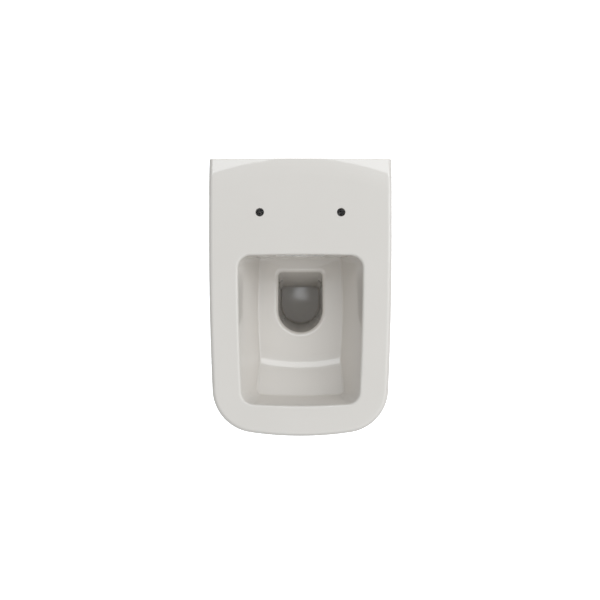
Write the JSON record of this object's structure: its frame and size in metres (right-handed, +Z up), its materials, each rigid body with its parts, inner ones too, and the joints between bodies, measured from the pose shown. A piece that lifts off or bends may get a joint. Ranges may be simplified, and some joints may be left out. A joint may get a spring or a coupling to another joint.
{
  "type": "wall hung toilet",
  "caption": "Square wall hung toilet pan without a seat: shrouded glazed ceramic casting with a rimless bowl, trapway, and a concealed wall fixing worked from above.",
  "frame": {"origin": "midway between the two wall stud holes, in the plane of the finished wall", "axes": "+X to the right of someone facing the wall, +Y into the wall, +Z up"},
  "size_m": [0.3498, 0.53, 0.338],
  "materials": {
    "glaze": "warm white, glossy fired glaze",
    "white_plastic": "moulded white plastic",
    "black_rubber": "moulded black rubber",
    "grey_plastic": "grey moulded plastic",
    "plated_steel": "zinc plated steel",
    "screw_steel": "plated, turned steel",
    "cast_zinc": "die cast, tumbled"
  },
  "bodies": {
    "pan": {"pan_body": "glaze", "flush_distributor": "white_plastic", "distributor_seal": "black_rubber", "inlet_seal": "black_rubber", "left_hanger_bracket": "plated_steel", "left_bracket_liner": "grey_plastic", "left_stud_bush": "grey_plastic", "left_stud_washer": "plated_steel", "left_stud_nut": "plated_steel", "right_hanger_bracket": "plated_steel", "right_bracket_liner": "grey_plastic", "right_stud_bush": "grey_plastic", "right_stud_washer": "plated_steel", "right_stud_nut": "plated_steel"},
    "left_screw": {"left_clamp_screw": "screw_steel", "left_screw_circlip": "screw_steel"},
    "left_jaw": {"left_clamp_jaw": "cast_zinc"},
    "right_screw": {"right_clamp_screw": "screw_steel", "right_screw_circlip": "screw_steel"},
    "right_jaw": {"right_clamp_jaw": "cast_zinc"}
  },
  "joints": [
    {"name": "left_screw_turn", "type": "hinge", "parent": "pan", "child": "left_screw", "pos_m": [-0.0775, -0.103, 0], "axis": [0, 0, 1], "range_deg": [0, 2304]},
    {"name": "left_jaw_slide", "type": "slide", "parent": "pan", "child": "left_jaw", "axis": [0, 0, 1], "range_m": [-0.008, 0]},
    {"name": "right_screw_turn", "type": "hinge", "parent": "pan", "child": "right_screw", "pos_m": [0.0775, -0.103, 0], "axis": [0, 0, 1], "range_deg": [0, 2304]},
    {"name": "right_jaw_slide", "type": "slide", "parent": "pan", "child": "right_jaw", "axis": [0, 0, 1], "range_m": [-0.008, 0]}
  ],
  "couplings": [
    {"joint": "left_screw_turn", "follows": "left_jaw_slide", "rad_per_m": -5026.5},
    {"joint": "right_screw_turn", "follows": "right_jaw_slide", "rad_per_m": -5026.5}
  ]
}
